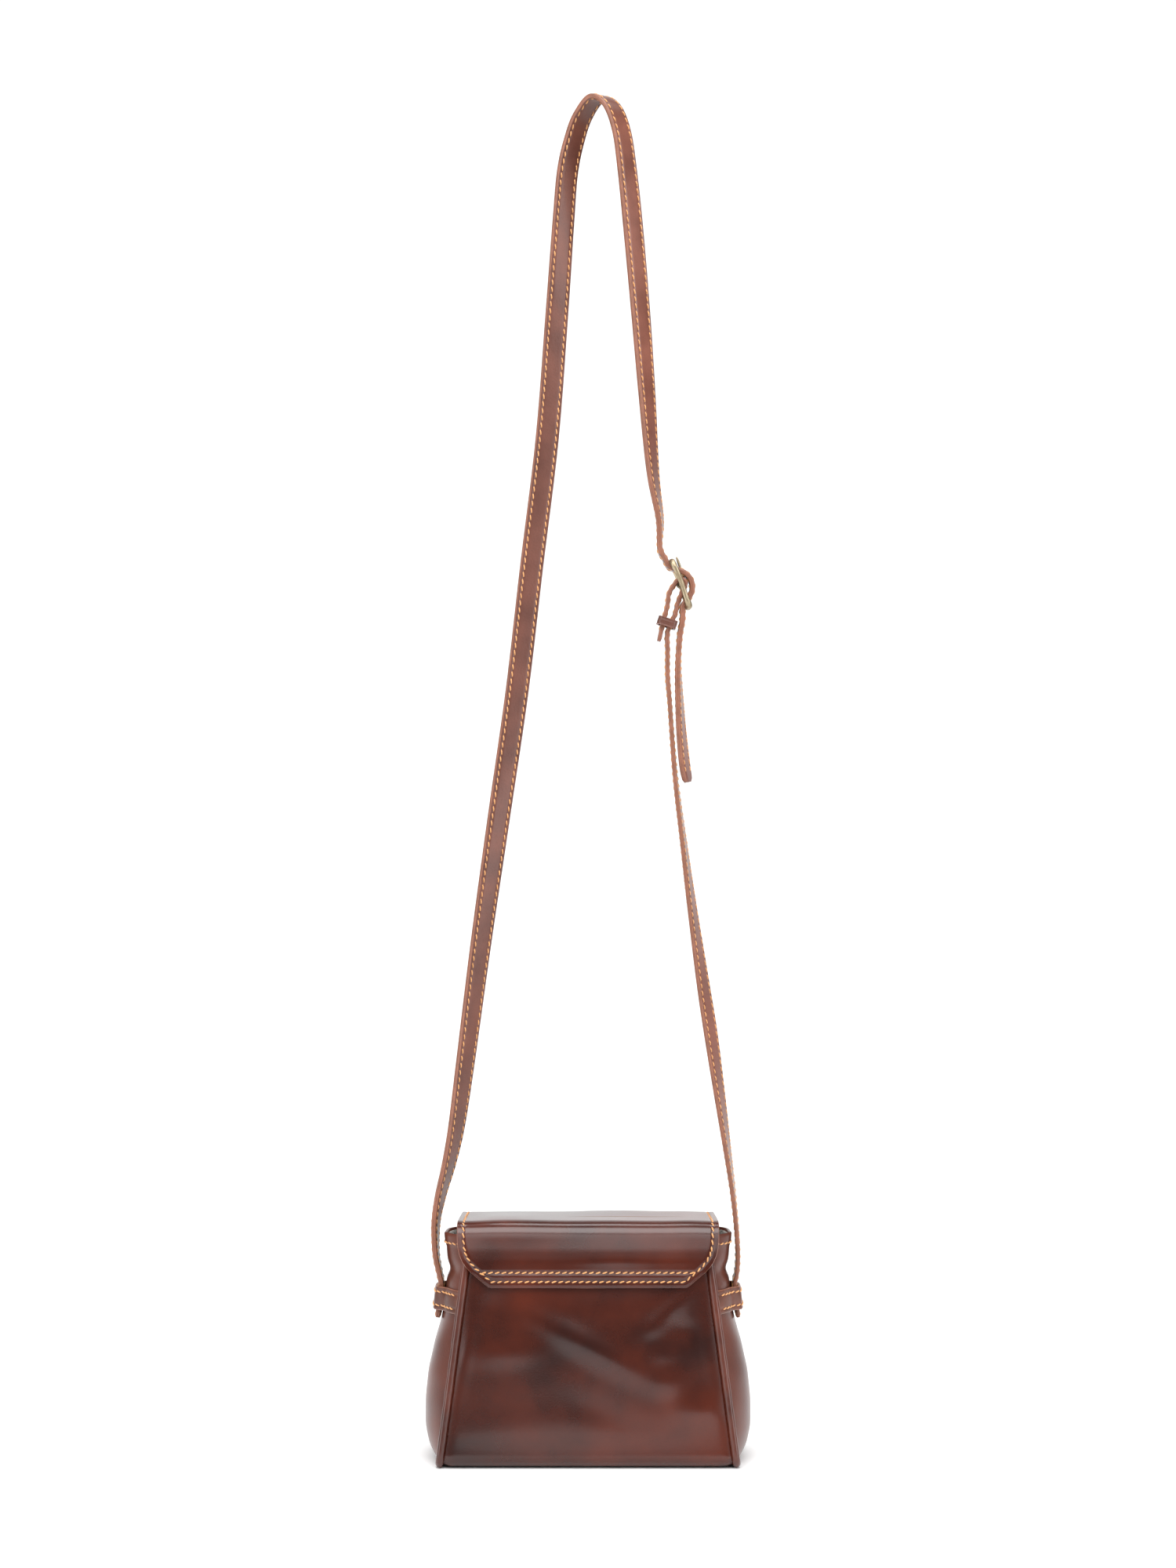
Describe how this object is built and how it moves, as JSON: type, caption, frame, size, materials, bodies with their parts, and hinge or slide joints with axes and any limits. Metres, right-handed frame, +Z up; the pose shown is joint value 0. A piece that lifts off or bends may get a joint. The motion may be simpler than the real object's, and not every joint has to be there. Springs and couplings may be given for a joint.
{
  "type": "crossbody purse",
  "caption": "Small wedge-shaped leather purse with piped gussets, a folding flap on a magnetic snap and a long buckled strap.",
  "frame": {"origin": "middle of the flat base, on the surface the purse stands on", "axes": "+Z up along the held-up strap; -Y is the face where the flap is sewn on, +Y the closing face; +X to the right when seen from -Y"},
  "size_m": [0.1904, 0.0829, 0.7962],
  "materials": {
    "body_leather": "glazed vegetable-tanned leather, mottled, high gloss",
    "gusset_leather": "soft leather, satin",
    "piping_leather": "rolled leather, gloss",
    "flap_leather": "glazed leather with honey thread stitching, gloss",
    "flap_underside": "plain leather lining, painted edge",
    "strap_leather": "satin leather with two rows of honey thread",
    "strap_underside": "matt leather with two rows of honey thread",
    "keeper_leather": "satin leather",
    "lining_cloth": "speckled woven cotton",
    "core_cord": "twisted cord",
    "fibre_board": "pressed fibre board",
    "buckle_brass": "antique brass, brushed",
    "snap_brass": "antique brass",
    "magnet": "dark ferrite",
    "washer_steel": "zinc plated"
  },
  "bodies": {
    "purse": {"rear_panel": "body_leather", "front_panel": "body_leather", "base_panel": "body_leather", "gusset_left": "gusset_leather", "gusset_right": "gusset_leather", "piping_left": "piping_leather", "piping_right": "piping_leather", "piping_core_left": "core_cord", "piping_core_right": "core_cord", "base_board": "fibre_board", "lining_rear": "lining_cloth", "lining_front": "lining_cloth", "lining_base": "lining_cloth", "lining_gusset_left": "lining_cloth", "lining_gusset_right": "lining_cloth", "strap_end_left": "strap_leather", "strap_end_right": "strap_leather", "anchor_band_left": "strap_leather", "anchor_band_right": "strap_leather", "flap_rear": "flap_leather", "flap_rear_lining": "flap_underside", "snap_socket": "snap_brass", "snap_magnet": "magnet", "snap_socket_washer": "washer_steel"},
    "flap_top": {"flap_top": "flap_leather", "flap_top_lining": "flap_underside"},
    "flap_front": {"flap_front": "flap_leather", "flap_front_lining": "flap_underside", "flap_stiffener": "fibre_board", "snap_stud": "snap_brass", "snap_stud_washer": "washer_steel"},
    "strap": {"strap_long": "strap_leather", "strap_long_lining": "strap_underside", "strap_short": "strap_leather", "strap_short_lining": "strap_underside", "buckle_frame": "buckle_brass"},
    "prong": {"buckle_prong": "buckle_brass"},
    "keeper": {"strap_keeper": "keeper_leather"}
  },
  "joints": [
    {"name": "flap_lift", "type": "hinge", "parent": "purse", "child": "flap_top", "pos_m": [0, -0.0264, 0.1384], "axis": [1, 0, 0], "range_deg": [0, 180]},
    {"name": "flap_front_fold", "type": "hinge", "parent": "flap_top", "child": "flap_front", "pos_m": [0, 0.0264, 0.1384], "axis": [1, 0, 0], "range_deg": [0, 60]},
    {"name": "strap_swing", "type": "hinge", "parent": "purse", "child": "strap", "pos_m": [0, 0, 0.108], "axis": [1, 0, 0], "range_deg": [-90, 90]},
    {"name": "prong_lift", "type": "hinge", "parent": "strap", "child": "prong", "pos_m": [0.0545, 0, 0.51], "axis": [0, 1, 0], "range_deg": [0, 8]},
    {"name": "keeper_slide", "type": "slide", "parent": "strap", "child": "keeper", "axis": [0.309, 0, 0.9511], "range_m": [0, 0.002]}
  ]
}
